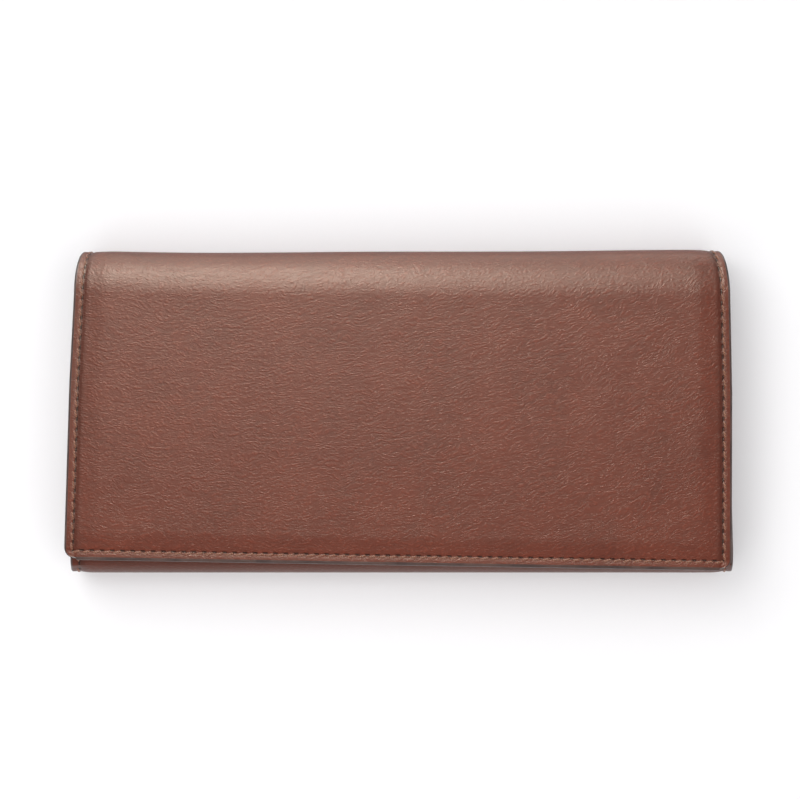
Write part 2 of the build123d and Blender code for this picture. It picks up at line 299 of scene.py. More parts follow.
EDGE_STEPS = 6  # facets round a painted edge


def strap_piece(name, s_lo, s_hi, mats, depth_lo, depth_hi, inset, relief, edge_depth, step=0.5,
                end_lo=False, end_hi=False, coarse=0.9, corner=0.0, marks=None):
    """A length of the strap as a closed sheet.

    Its outer face lies depth_lo below the strap's outer face and its inner face depth_hi below. Its
    sides turn round with a painted edge down to edge_depth. end_lo and end_hi say which ends are real
    edges, not cuts. mats are the face's material and the edge's.
    """
    s = np.array(spaced(s_lo, s_hi, step))
    t = across_samples(coarse, 0.22)
    half = half_width(s)[:, None] - inset
    x = t[None, :] * half
    if corner > 0.0:
        # round the two corners at the free end
        from_end = s_hi - s
        arc = corner - np.sqrt(np.maximum(0.0, corner**2 - (corner - from_end) ** 2))
        half_row = half - np.where(from_end < corner, arc, 0.0)[:, None]
        x = np.sign(x) * np.minimum(np.abs(x), half_row * (0.985 + 0.015 * np.abs(t[None, :])))
    else:
        half_row = half
    grid_s = np.repeat(s[:, None], len(t), 1)
    pos, out = path.at(s)

    def place(gx, gs, depth):
        base_y = pos[:, 0][:, None] - out[:, 0][:, None] * depth
        base_z = pos[:, 1][:, None] - out[:, 1][:, None] * depth
        px, py, pz = settle(gx, gs, base_y, base_z)
        return np.stack([px, py, pz], -1).reshape(-1, 3)

    relief_here = relief(x, grid_s, half) if relief is not None else np.zeros_like(x)
    lo = depth_lo(s)[:, None] if callable(depth_lo) else depth_lo
    hi = depth_hi(s)[:, None] if callable(depth_hi) else depth_hi
    top = place(x, grid_s, lo - relief_here)
    low_half = half_row - INNER_INSET
    x_low = np.sign(x) * np.minimum(np.abs(x), low_half)
    bottom = place(x_low, grid_s, hi - relief_here)
    rows, cols = len(s), len(t)
    verts = [top, bottom]
    uvs = [np.stack([x, grid_s], -1).reshape(-1, 2), np.stack([x, grid_s + 400.0], -1).reshape(-1, 2)]
    faces = grid_faces(rows, cols, 0, flip=True)
    lap = np.zeros((rows - 1, cols - 1), int)
    lap[:, [0, -1]] = 1
    if end_hi:
        lap[-1:, :] = 1
    if end_lo:
        lap[:1, :] = 1
    mat = list(lap.ravel())
    low_faces = grid_faces(rows, cols, rows * cols)
    faces += low_faces
    mat += [0] * len(low_faces)
    count = 2 * rows * cols
    # painted edges down both sides: a half round from the outer face to edge_depth
    edge_to = edge_depth(s)[:, None]
    outer = lo - relief_here
    for side, col in ((-1, 0), (1, cols - 1)):
        ring = []
        ring_uv = []
        for k in range(EDGE_STEPS + 1):
            a = math.pi * k / EDGE_STEPS
            edge_top = outer[:, col:col + 1]
            mid = (edge_top + edge_to) / 2
            reach = EDGE_REACH * math.sin(a)
            depth = mid - (edge_to - edge_top) / 2 * math.cos(a)
            gx = x[:, col:col + 1] + side * reach
            ring.append(place(gx, s[:, None], depth))
            ring_uv.append(np.stack([gx[:, 0], s + depth[:, 0]], -1))
        block = np.stack(ring, 1).reshape(-1, 3)
        verts.append(block)
        uvs.append(np.stack(ring_uv, 1).reshape(-1, 2))
        new = grid_faces(rows, EDGE_STEPS + 1, count, flip=(side > 0))
        faces += new
        mat += [1] * len(new)
        count += rows * (EDGE_STEPS + 1)
    for real, row in ((end_lo, 0), (end_hi, rows - 1)):
        flip = row == 0
        if real:
            ring = []
            ring_uv = []
            direction = -1 if row == 0 else 1
            pos_e, out_e = pos[row], out[row]
            ahead = np.array([-out_e[1], out_e[0]]) * direction
            edge_top, to = outer[row], edge_to[row, 0]
            for k in range(EDGE_STEPS + 1):
                a = math.pi * k / EDGE_STEPS
                mid = (edge_top + to) / 2
                depth = mid - (to - edge_top) / 2 * math.cos(a)
                reach = EDGE_REACH * math.sin(a)
                gy = pos_e[0] - out_e[0] * depth + ahead[0] * reach
                gz = pos_e[1] - out_e[1] * depth + ahead[1] * reach
                px, py, pz = settle(x[row], np.full(cols, s[row]), gy, gz)
                ring.append(np.stack([px, py, pz], -1))
                ring_uv.append(np.stack([x[row], np.full(cols, s[row] + 1.0 + 0.2 * k)], -1))
            verts.append(np.concatenate(ring))
            uvs.append(np.concatenate(ring_uv))
            new = grid_faces(EDGE_STEPS + 1, cols, count, flip=not flip)
            faces += new
            mat += [1] * len(new)
            count += (EDGE_STEPS + 1) * cols
        else:
            a_row = top.reshape(rows, cols, 3)[row]
            b_row = bottom.reshape(rows, cols, 3)[row]
            verts.append(np.concatenate([a_row, b_row]))
            uvs.append(np.zeros((2 * cols, 2)))
            new = grid_faces(2, cols, count, flip=not flip)
            faces += new
            mat += [0] * len(new)
            count += 2 * cols
    obj = make_object(name, np.concatenate(verts), faces, mats, mat, np.concatenate(uvs))
    if marks is not None:
        side_off, side_run, low_off, low_run = marks(x, grid_s, half)
        for seam, off, run in (("side_seam", side_off, side_run), ("low_seam", low_off, low_run)):
            value = np.full((count, 3), FAR)
            value[:rows * cols, 0] = off.ravel()
            value[:rows * cols, 1] = run.ravel()
            layer = obj.data.attributes.new(seam, "FLOAT_VECTOR", "POINT")
            layer.data.foreach_set("vector", value.astype(np.float32).ravel())
    return obj


# ---- materials
def srgb(r, g, b):
    def linear(v):
        v = v / 255.0
        return v / 12.92 if v <= 0.04045 else ((v + 0.055) / 1.055) ** 2.4

    return (linear(r), linear(g), linear(b), 1.0)


class Nodes:
    """A short way to write a node tree."""

    def __init__(self, name):
        self.mat = bpy.data.materials.new(name)
        self.mat.use_nodes = True
        self.tree = self.mat.node_tree
        self.bsdf = self.tree.nodes["Principled BSDF"]

    def add(self, kind, **settings):
        node = self.tree.nodes.new(kind)
        for key, value in settings.items():
            setattr(node, key, value)
        return node

    def link(self, a, b):
        self.tree.links.new(a, b)

    def put(self, value, socket):
        if isinstance(value, (int, float, tuple)):
            socket.default_value = value
        else:
            self.link(value, socket)

    def math(self, op, a, b=0.0, c=0.0):
        node = self.add("ShaderNodeMath", operation=op)
        self.put(a, node.inputs[0])
        self.put(b, node.inputs[1])
        if op == "MULTIPLY_ADD":
            self.put(c, node.inputs[2])
        return node.outputs[0]

    def ramp(self, value, lo, hi, to_lo=0.0, to_hi=1.0):
        node = self.add("ShaderNodeMapRange", interpolation_type="SMOOTHSTEP")
        self.put(value, node.inputs["Value"])
        self.put(lo, node.inputs["From Min"])
        self.put(hi, node.inputs["From Max"])
        self.put(to_lo, node.inputs["To Min"])
        self.put(to_hi, node.inputs["To Max"])
        return node.outputs[0]

    def mix(self, factor, a, b):
        node = self.add("ShaderNodeMix", data_type="RGBA")
        self.put(factor, node.inputs["Factor"])
        self.put(a, node.inputs["A"])
        self.put(b, node.inputs["B"])
        return node.outputs["Result"]

    def join(self, x, y, z):
        node = self.add("ShaderNodeCombineXYZ")
        self.put(x, node.inputs[0])
        self.put(y, node.inputs[1])
        self.put(z, node.inputs[2])
        return node.outputs[0]

    def noise(self, vector, scale, detail=2.0, rough=0.5, distortion=0.0):
        node = self.add("ShaderNodeTexNoise")
        self.link(vector, node.inputs["Vector"])
        node.inputs["Scale"].default_value = scale
        node.inputs["Detail"].default_value = detail
        node.inputs["Roughness"].default_value = rough
        node.inputs["Distortion"].default_value = distortion
        return node.outputs["Fac"]

    def cells(self, vector, scale):
        node = self.add("ShaderNodeTexVoronoi", feature="F1")
        self.link(vector, node.inputs["Vector"])
        node.inputs["Scale"].default_value = scale
        return node.outputs["Distance"]

    def bump(self, height, distance, strength=1.0, normal=None):
        node = self.add("ShaderNodeBump")
        self.link(height, node.inputs["Height"])
        node.inputs["Distance"].default_value = distance
        node.inputs["Strength"].default_value = strength
        if normal is not None:
            self.link(normal, node.inputs["Normal"])
        return node.outputs["Normal"]


def seam_band(n, seam):
    """Sockets for a seam's needle holes and for how far inside it a point lies."""
    split = n.add("ShaderNodeSeparateXYZ")
    n.link(n.add("ShaderNodeAttribute", attribute_name=seam).outputs["Vector"], split.inputs[0])
    off, run = split.outputs[0], split.outputs[1]
    phase = n.math("ABSOLUTE", n.math("SUBTRACT", n.math("FRACT", n.math("ADD", run, 0.5)), 0.5))
    across = n.math("ABSOLUTE", n.math("SUBTRACT", off, 0.42))
    hole = n.math("MULTIPLY", n.ramp(phase, 0.19, 0.28, 1.0, 0.0), n.ramp(across, 0.15, 0.36, 1.0, 0.0))
    return off, hole


def leather_material(name, dark, light, crease, rough, grain, wrinkle, specular=0.5, seams=False):
    """Smooth brown leather with a fine pebble, wrinkles that follow the skin, and slow colour drift. With
    seams, it also carries painted shade: dark needle holes, a darker band inside the side seams and a
    darkened bottom turn.
    """
    n = Nodes(name)
    split = n.add("ShaderNodeSeparateXYZ")
    n.link(n.add("ShaderNodeUVMap", uv_map="strap").outputs["UV"], split.inputs[0])
    u = n.math("MULTIPLY", split.outputs[0], 1000.0)
    v = n.math("MULTIPLY", split.outputs[1], 1000.0)
    flat = n.join(u, v, 0.0)
    # the wrinkles dip a little on the left and climb towards the right
    from_dip = n.math("ADD", u, 45.0)
    level = n.math("MULTIPLY_ADD", n.math("MULTIPLY", from_dip, from_dip), 0.0016, v)
    slow = n.noise(flat, 0.045, 3.0, 0.55)
    sway = n.math("MULTIPLY_ADD", n.noise(flat, 0.11, 2.0), 5.0, -2.5)
    swayed = n.math("ADD", level, sway)
    ragged = n.math("MULTIPLY_ADD", n.noise(flat, 1.5, 2.0), 0.6, swayed)
    # close pebble: round cells, longer along the wrinkles
    cell = n.cells(n.join(n.math("MULTIPLY", u, 0.48), ragged, 0.0), 1.8)
    pebble = n.ramp(cell, 0.05, 0.62, 1.0, 0.0)
    small = n.cells(n.join(n.math("MULTIPLY", u, 0.65), ragged, 0.0), 3.2)
    pebble = n.math("MULTIPLY_ADD", n.ramp(small, 0.0, 0.6, 1.0, 0.0), 0.35, pebble)
    fine = n.noise(flat, 3.2, 3.0, 0.6)
    # wrinkles: thin valleys along the skin
    long_skin = n.join(n.math("MULTIPLY", u, 0.2), swayed, 0.0)
    valley = n.noise(long_skin, 0.75, 4.0, 0.62, 0.35)
    wrinkles = n.ramp(n.math("ABSOLUTE", n.math("SUBTRACT", valley, 0.5)), 0.0, 0.07)
    patch = n.ramp(n.noise(flat, 0.06, 2.0, 0.5), 0.36, 0.64)
    # colour
    colour = n.mix(n.ramp(slow, 0.3, 0.72), dark, light)
    mottled = n.noise(flat, 0.35, 4.0, 0.65)
    colour = n.mix(n.ramp(mottled, 0.35, 0.75, 0.0, 0.22), colour, light)
    valleys = n.math("SUBTRACT", 1.0, wrinkles)
    colour = n.mix(n.math("MULTIPLY", valleys, n.math("MULTIPLY_ADD", patch, 0.22, 0.08)), colour, crease)
    colour = n.mix(n.ramp(pebble, 0.15, 0.85, 0.30, 0.0), colour, crease)
    if seams:
        side_off, side_hole = seam_band(n, "side_seam")
        low_off, low_hole = seam_band(n, "low_seam")
        side_hole = n.math("MULTIPLY", side_hole, n.ramp(low_off, -0.2, 0.2))
        low_hole = n.math("MULTIPLY", low_hole, n.ramp(side_off, -0.2, 0.2))
        # painted shade: a darker band in the crease tone just inside the side seams, standing in for the
        # shade in the channel beside the stitches
        gutter = n.math("MULTIPLY", n.ramp(side_off, 0.1, 0.4), n.ramp(side_off, 0.5, 3.2, 0.55, 0.0))
        colour = n.mix(n.math("MULTIPLY", gutter, n.ramp(low_off, -0.2, 0.4)), colour, crease)
        # painted shade: the bottom turn, where it runs under the flap's free edge, is darkened in the crease
        # tone as if in the flap's shadow
        turn = n.math("MULTIPLY", n.ramp(v, M["front_crease"] - 5.0, M["front_crease"] + 2.0),
                      n.ramp(v, M["bottom"] + 2.0, M["bottom"] + 9.0, 0.45, 0.0))
        colour = n.mix(turn, colour, crease)
        # painted shade: near-black dashes at each stitch's needle holes stand in for the shade in the holes
        # and under the thread
        holes = n.math("MAXIMUM", side_hole, low_hole)
        colour = n.mix(n.math("MULTIPLY", holes, 0.9), colour, srgb(34, 14, 10))
    n.link(colour, n.bsdf.inputs["Base Color"])
    n.link(n.ramp(fine, 0.3, 0.7, rough[0], rough[1]), n.bsdf.inputs["Roughness"])
    n.bsdf.inputs["Specular IOR Level"].default_value = specular
    n.bsdf.inputs["Specular Tint"].default_value = (1.0, 0.85, 0.72, 1.0)
    normal = n.bump(fine, 0.03 * MM, 0.5 * grain)
    normal = n.bump(pebble, 0.06 * MM, grain, normal)
    normal = n.bump(wrinkles, 0.09 * MM, wrinkle, normal)
    if seams:
        normal = n.bump(n.math("SUBTRACT", 1.0, holes), 0.25 * MM, 0.7, normal)
    n.link(normal, n.bsdf.inputs["Normal"])
    return n.mat


def paint_material():
    """Edge paint: several coats, dark, a little glossy, brushed on unevenly."""
    n = Nodes("edge_paint")
    source = n.add("ShaderNodeTexCoord").outputs["Object"]
    streak = n.noise(source, 900.0, 3.0, 0.6)
    slow = n.noise(source, 140.0, 2.0)
    colour = n.mix(n.ramp(slow, 0.3, 0.7), srgb(60, 43, 39), srgb(82, 60, 53))
    n.link(colour, n.bsdf.inputs["Base Color"])
    n.link(n.ramp(streak, 0.3, 0.7, 0.30, 0.46), n.bsdf.inputs["Roughness"])
    n.link(n.bump(streak, 0.05 * MM, 0.5), n.bsdf.inputs["Normal"])
    return n.mat


def thread_material(name, dark, light):
    """Waxed thread: two plies twisted, seen as slanting bands."""
    n = Nodes(name)
    source = n.add("ShaderNodeTexCoord").outputs["Object"]
    wave = n.add("ShaderNodeTexWave", wave_type="BANDS", bands_direction="DIAGONAL")
    n.link(source, wave.inputs["Vector"])
    wave.inputs["Scale"].default_value = 900.0
    wave.inputs["Distortion"].default_value = 1.0
    fibre = n.noise(source, 5200.0, 2.0)
    twist = n.math("MULTIPLY_ADD", wave.outputs["Fac"], 0.7, n.math("MULTIPLY", fibre, 0.3))
    n.link(n.mix(n.ramp(twist, 0.2, 0.8), dark, light), n.bsdf.inputs["Base Color"])
    n.bsdf.inputs["Roughness"].default_value = 0.55
    n.bsdf.inputs["Sheen Weight"].default_value = 0.2
    n.link(n.bump(twist, 0.06 * MM, 0.8), n.bsdf.inputs["Normal"])
    return n.mat


def metal_material(name, colour, dark, rough):
    n = Nodes(name)
    source = n.add("ShaderNodeTexCoord").outputs["Object"]
    scuff = n.noise(source, 1300.0, 4.0, 0.7)
    tarnish = n.noise(source, 260.0, 3.0, 0.6)
    n.link(n.mix(n.ramp(tarnish, 0.42, 0.78, 0.0, 0.7), colour, dark), n.bsdf.inputs["Base Color"])
    n.bsdf.inputs["Metallic"].default_value = 1.0
    n.link(n.ramp(scuff, 0.3, 0.75, rough, rough + 0.22), n.bsdf.inputs["Roughness"])
    n.link(n.bump(scuff, 0.02 * MM, 0.4), n.bsdf.inputs["Normal"])
    return n.mat


def weave_material(name, dark, light, pitch):
    """Woven tape: over and under threads."""
    n = Nodes(name)
    source = n.add("ShaderNodeTexCoord").outputs["Object"]
    split = n.add("ShaderNodeSeparateXYZ")
    n.link(source, split.inputs[0])
    turn = 2 * math.pi / (pitch * MM)
    a = n.math("SINE", n.math("MULTIPLY", split.outputs[0], turn))
    b = n.math("SINE", n.math("MULTIPLY", n.math("ADD", split.outputs[1], split.outputs[2]), turn))
    over = n.math("MULTIPLY_ADD", n.math("MULTIPLY", a, b), 0.5, 0.5)
    fuzz = n.noise(source, 2400.0, 3.0)
    height = n.math("MULTIPLY_ADD", fuzz, 0.35, over)
    n.link(n.mix(n.ramp(height, 0.2, 1.1), dark, light), n.bsdf.inputs["Base Color"])
    n.bsdf.inputs["Roughness"].default_value = 0.85
    n.bsdf.inputs["Specular IOR Level"].default_value = 0.3
    n.bsdf.inputs["Sheen Weight"].default_value = 0.05
    n.link(n.bump(height, 0.12 * MM, 0.8), n.bsdf.inputs["Normal"])
    return n.mat


def board_material():
    n = Nodes("fibre_board")
    source = n.add("ShaderNodeTexCoord").outputs["Object"]
    fibres = n.noise(source, 900.0, 5.0, 0.7, 0.6)
    colour = n.mix(n.ramp(fibres, 0.35, 0.7), srgb(148, 128, 100), srgb(186, 166, 134))
    n.link(colour, n.bsdf.inputs["Base Color"])
    n.bsdf.inputs["Roughness"].default_value = 0.9
    n.link(n.bump(fibres, 0.08 * MM, 0.7), n.bsdf.inputs["Normal"])
    return n.mat


# each leather: its darker and lighter tone, and the tone in its creases; on the outer leather the crease tone
# is also the colour of the painted shade beside the seams and on the bottom turn
OUTER = leather_material("outer_leather", srgb(104, 42, 27), srgb(112, 46, 29), srgb(60, 24, 16),
                         rough=(0.37, 0.50), grain=0.55, wrinkle=0.22, specular=0.6, seams=True)
LINER = leather_material("lining_leather", srgb(92, 54, 43), srgb(106, 64, 51), srgb(66, 36, 28),
                         rough=(0.55, 0.7), grain=0.5, wrinkle=0.2)
INNER = leather_material("card_leather", srgb(96, 56, 44), srgb(110, 66, 52), srgb(68, 37, 28),
                         rough=(0.5, 0.66), grain=0.5, wrinkle=0.25)
PAINT = paint_material()
THREAD = thread_material("thread", srgb(106, 60, 40), srgb(150, 100, 72))
BRASS = metal_material("antique_brass", srgb(196, 164, 108), srgb(128, 98, 56), 0.24)
STEEL = metal_material("plated_steel", srgb(186, 186, 184), srgb(140, 138, 134), 0.3)
TAPE = weave_material("zip_tape", srgb(56, 32, 24), srgb(86, 54, 42), 0.55)
BOARD = board_material()

# ---- the strap in its pieces
FULL = FRONT_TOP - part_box("front_lining")[0].z / MM  # leather, board and lining together


def flap_full(s):
    """Depth of the lining's inner face below the strap's outer face."""
    flap_depth = TOP - LINING_LOW
    return flap_rest(s) + np.interp(
        s, [0, M["back"], M["rear_crease"], M["spine"], M["flap_crease"], M["flap"], END],
        [FULL, FULL, FULL, LEATHER + LINING, LEATHER + LINING, flap_depth, flap_depth])


def lining_top(s):
    return flap_full(s) - LINING


def outer_strap(name, s_lo, s_hi, relief, step, marks, **ends):
    """A length of the outer leather."""
    piece = strap_piece(name, s_lo, s_hi, [OUTER, PAINT], 0.0, LEATHER, 0.0, relief, flap_full,
                        step=step, marks=marks, **ends)
    return piece


front_strap = outer_strap("front_strap", 0.0, CREASE_FRONT, body_relief, 0.7, body_marks, end_lo=True)
bottom_strap = outer_strap("bottom_strap", CREASE_FRONT, SEAM_BACK, body_relief, 0.6, body_marks)
back_strap = outer_strap("back_strap", SEAM_BACK, SEAM_SPINE, body_relief, 0.6, body_marks)


def join_relief(x, s, half):
    """The flap's relief, eased into the body's at the middle of the fold."""
    w = smooth(SEAM_SPINE, M["flap_crease"] + 3.0, s)
    return w * flap_relief(x, s, half) + (1 - w) * body_relief(x, s, half)


flap_strap = outer_strap("flap_strap", SEAM_SPINE, END, join_relief, 0.5, flap_marks, end_hi=True,
                         corner=FLAP_CORNER)
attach(front_strap, "front_panel")
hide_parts("front_leather")
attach(bottom_strap, "back")
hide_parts("bottom_leather")


def over_rear(obj, *nodes):
    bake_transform(obj)
    if nodes:
        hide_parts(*nodes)


def over_flap(obj, *nodes):
    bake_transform(obj)
    if nodes:
        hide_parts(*nodes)


over_rear(back_strap, "back_leather")
over_flap(flap_strap, "flap_leather", "spine_leather", "flap_core")

# the leather inside the front crease, hidden until the front wall leans out
CREASE_FAN = math.radians(11.0)  # to each side, a little more than the front wall leans out
CREASE_LEAF = 1.8  # how deep it reaches
CREASE_LAP = 0.1
crease_at, crease_out = path.at([CREASE_FRONT])
crease_half = float(half_width(CREASE_FRONT)) + CREASE_LAP
rays = [crease_at[0] - crease_out[0] * CREASE_LAP]
for turn in np.linspace(-CREASE_FAN, CREASE_FAN, 7):
    y, z = -crease_out[0]
    ray = np.array([y * math.cos(turn) - z * math.sin(turn), y * math.sin(turn) + z * math.cos(turn)])
    rays.append(crease_at[0] + ray * CREASE_LEAF)
count = len(rays)
ends = [(side * crease_half, y, z) for side in (-1, 1) for y, z in rays]
fan_faces = [tuple(reversed(range(count))), tuple(range(count, 2 * count))]
fan_faces += [(k, (k + 1) % count, count + (k + 1) % count, count + k) for k in range(count)]
crease_leather = make_object("crease_leather", ends, fan_faces, [PAINT], smooth_faces=False)
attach(crease_leather, "coin_pocket")

# linings
LINER_INSET = 0.45  # the lining stops short of the strap's sides
LINER_END = 0.3  # and of its ends


def liner(name, s_lo, s_hi, step, corner=0.0):
    """A length of the lining."""
    piece = strap_piece(name, s_lo, s_hi, [LINER, PAINT], lining_top, flap_full, LINER_INSET, None,
                        flap_full, step=step, coarse=1.5, corner=corner)
    return piece


front_liner = liner("front_liner", LINER_END, M["front_crease"], 1.2)
back_liner = liner("back_liner", M["back"], SEAM_SPINE, 1.0)
flap_liner = liner("flap_liner", SEAM_SPINE, END - LINER_END, 1.0, corner=FLAP_CORNER - 0.2)
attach(front_liner, "front_panel")
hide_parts("front_lining")
over_rear(back_liner, "back_lining", "spine_lining")
over_flap(flap_liner, "flap_lining")


# ---- stitches
def on_strap(x, s, relief, depth=None):
    """Points and normals on the strap's face, or on its lining's inner face, at x across and s along."""
    pos, out = path.at(s)
    rise = relief(x, s, half_width(s)) if depth is None else -depth(s)
    px, py, pz = settle(x, s, pos[:, 0] + out[:, 0] * rise, pos[:, 1] + out[:, 1] * rise)
    up = np.stack([np.zeros_like(x), out[:, 0], out[:, 1]], -1)
    return np.stack([px, py, pz], -1), up if depth is None else -up


def stitch_run(name, seams, radius=0.25, share=0.86, slant=0.10, dip=0.30):
    """Separate stitches along seams, each dipping into its two holes.

    seams lists (place, first, last). place gives points and normals at a length counted in stitches.
    """
    verts, faces = [], []
    around, along = 8, 9
    ring = np.arange(around) * 2 * math.pi / around
    t = np.linspace(-1.0, 1.0, along)
    size = radius * np.sqrt(np.maximum(0.0, 1 - np.abs(t) ** 3.4)) + 0.03
    lift = radius * 0.45 - dip * np.abs(t) ** 3
    for place, first, last in seams:
        for k in range(first, last):
            p, up = place(k + 0.5 + t * share / 2)
            tangent = np.gradient(p, axis=0)
            reach = np.linalg.norm(p[-1] - p[0])
            tangent /= np.linalg.norm(tangent, axis=1)[:, None]
            side = np.cross(up, tangent)
            side /= np.linalg.norm(side, axis=1)[:, None]
            centre = p + side * (t * slant * reach)[:, None] + up * lift[:, None]
            rings = (centre[:, None, :] + side[:, None, :] * (size[:, None] * np.cos(ring) * 1.1)[:, :, None]
                     + up[:, None, :] * (size[:, None] * np.sin(ring) * 0.85)[:, :, None])
            base = len(verts)
            verts += [tuple(v) for v in rings.reshape(-1, 3)]
            for j in range(along - 1):
                for q in range(around):
                    a, b = base + j * around + q, base + j * around + (q + 1) % around
                    faces.append((a, b, b + around, a + around))
            faces.append(tuple(base + q for q in reversed(range(around))))
            faces.append(tuple(base + (along - 1) * around + q for q in range(around)))
    obj = make_object(name, verts, faces, [THREAD])
    return obj


def body_seams(s_lo, s_hi, depth=None):
    """Both side seams between two lengths along the strap."""
    first, last = math.ceil((s_lo - SEAM_BACK) / PITCH), math.floor((s_hi - SEAM_BACK) / PITCH)

    def seam(side):
        def place(c):
            s = SEAM_BACK + c * PITCH
            return on_strap(side * (half_width(s) - SEAM), s, body_relief, depth)

        return place, first, last

    return [seam(-1), seam(1)]


def flap_seams(depth=None):
    """The U of stitching on the flap: down both sides and along the free edge."""
    def down(side):
        def place(c):
            s = SEAM_SPINE + c * FLAP_SIDE_PITCH
            return on_strap(side * (half_width(s) - SEAM), s, join_relief, depth)

        return place, 0, round(FLAP_SIDE_RUN / FLAP_SIDE_PITCH)

    def low(c):
        return on_strap(c * FLAP_LOW_PITCH - FLAP_LOW_RUN / 2, np.full(len(c), SEAM_LOW), join_relief, depth)

    return [down(-1), down(1), (low, 0, round(FLAP_LOW_RUN / FLAP_LOW_PITCH))]


front_stitches = stitch_run("front_stitches", body_seams(1.2, CREASE_FRONT))
bottom_stitches = stitch_run("bottom_stitches", body_seams(CREASE_FRONT, SEAM_BACK))
back_stitches = stitch_run("back_stitches", body_seams(SEAM_BACK, SEAM_SPINE))
flap_stitches = stitch_run("flap_stitches", flap_seams())
flap_inner_stitches = stitch_run("flap_inner_stitches", flap_seams(flap_full))
front_inner_stitches = stitch_run("front_inner_stitches", body_seams(1.2, M["front_crease"] - 1.0, flap_full))
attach(front_stitches, "front_panel")
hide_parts("front_thread")
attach(front_inner_stitches, "front_panel")
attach(bottom_stitches, "back")
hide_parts("bottom_thread")
over_rear(back_stitches, "back_thread")
over_flap(flap_stitches, "flap_thread", "spine_thread")
over_flap(flap_inner_stitches)


# ---- inside pieces
def edged(lo, hi, step, half):
    """Samples from lo to hi, close together at both ends so that an edge half thick can turn round."""
    near = [0.0, 0.15 * half, 0.5 * half, half]
    count = max(2, int(round((hi - lo - 2 * half) / step)) + 1)
    inner = list(np.linspace(lo + half, hi - half, count))[1:-1]
    return np.array([lo + d for d in near] + inner + [hi - d for d in reversed(near)])


def sheet_piece(name, a, b, place, half, material):
    """A sheet half thick either side of its middle face, with rounded edges, as one closed mesh.

    a and b are its lengths down its rows and columns, and place(A, B) gives its middle face.
    """
    grid_a, grid_b = np.meshgrid(a, b, indexing="ij")
    p = place(grid_a, grid_b)
    down = np.gradient(p, a, axis=0)
    across = np.gradient(p, b, axis=1)
    n = np.cross(down, across)
    n /= np.linalg.norm(n, axis=2)[:, :, None]
    from_edge = np.minimum.reduce([grid_a - a[0], a[-1] - grid_a, grid_b - b[0], b[-1] - grid_b])
    short = 1.0 - np.clip(from_edge / half, 0.0, 1.0)
    thick = half * np.sqrt(np.maximum(0.0, 1.0 - short**2))[:, :, None]
    rows, cols = len(a), len(b)
    verts = np.concatenate([(p + n * thick).reshape(-1, 3), (p - n * thick).reshape(-1, 3)])
    uv = np.stack([grid_b, grid_a], -1).reshape(-1, 2)
    faces = grid_faces(rows, cols, 0) + grid_faces(rows, cols, rows * cols, flip=True)
    obj = make_object(name, verts, faces, [material], uv=np.concatenate([uv, uv + 230.0]))
    shell = bmesh.new()
    shell.from_mesh(obj.data)
    bmesh.ops.remove_doubles(shell, verts=shell.verts, dist=0.5e-6)
    shell.to_mesh(obj.data)
    shell.free()
    return obj


def along_line(points, ups, pitch):
    """A seam along straight stretches between points, for stitch_run."""
    points, ups = np.array(points, float), np.array(ups, float)
    run = np.concatenate([[0.0], np.cumsum(np.linalg.norm(np.diff(points, axis=0), axis=1))])
    count = int(round(run[-1] / pitch))
    run *= count / run[-1]

    def place(c):
        p = np.stack([np.interp(c, run, points[:, k]) for k in range(3)], -1)
        return p, np.stack([np.interp(c, run, ups[:, k]) for k in range(3)], -1)

    return place, 0, count


def node_box(node):
    """A CAD node's corners in mm."""
    lo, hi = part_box(node)
    return lo / MM, hi / MM


# card pockets: sheets that lie one on the next, each with a hemmed upper edge and a creased line under it
HEM = 2.0  # from a pocket's upper edge to the creased line
CARD_SEAM = 1.4  # from a pocket's side to its stitches
CARD_HALF = 0.15  # half a pocket sheet's thickness
card_lines = []
for number in (1, 2, 3, 4):
    lo, hi = node_box(f"card_strip_{number}")
    half = CARD_HALF
    middle = hi.z - half

    def card_face(ga, gb, top=hi.y, level=middle, wide=hi.x):
        from_top = top - ga
        hem = 0.07 * (1 - smooth(HEM - 0.35, HEM + 0.1, from_top)) - 0.10 * bump(from_top, HEM, 0.22)
        seam = -0.08 * (bump(gb, 0.0, 0.6) + bump(np.abs(gb), wide - CARD_SEAM, 0.5))
        swell = 0.10 * bump(np.abs(gb), wide / 2, 26.0) * smooth(0.0, 4.0, from_top)
        return np.stack([gb, ga, level + hem + seam + swell * (1 - smooth(9.0, 14.0, from_top))], -1)

    strip = sheet_piece(f"card_pocket_{number}", edged(lo.y, hi.y, 0.45, half), edged(lo.x, hi.x, 1.0, half),
                        card_face, half, INNER)
    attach(strip, "back")
    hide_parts(f"card_strip_{number}")
    below = lo.y + 1.2 if number == 4 else node_box(f"card_strip_{number + 1}")[1].y + 0.3
    for seam_x in (lo.x + CARD_SEAM, 0.0, hi.x - CARD_SEAM):
        line = [(seam_x, hi.y - 0.8, hi.z - 0.05), (seam_x, below, hi.z - 0.05)]
        card_lines.append(along_line(line, [(0, 0, 1)] * 2, PITCH))
    if number == 4:
        line = [(lo.x + CARD_SEAM, below, hi.z - 0.02), (hi.x - CARD_SEAM, below, hi.z - 0.02)]
        card_lines.append(along_line(line, [(0, 0, 1)] * 2, PITCH))
card_stitches = stitch_run("card_stitches", card_lines, radius=0.2, dip=0.24)
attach(card_stitches, "back")


# coin pocket: two walls with a seam round their edge, and the strip that closes the ends and bottom
def round_corners(ga, gb, low, radius):
    """Columns drawn in towards the middle where the panel's two lower corners are rounded."""
    up = np.clip(ga - low, 0.0, radius)
    cut = radius - np.sqrt(np.maximum(0.0, radius**2 - (radius - up) ** 2))
    wide = np.abs(gb).max()
    return gb * (wide - cut) / wide


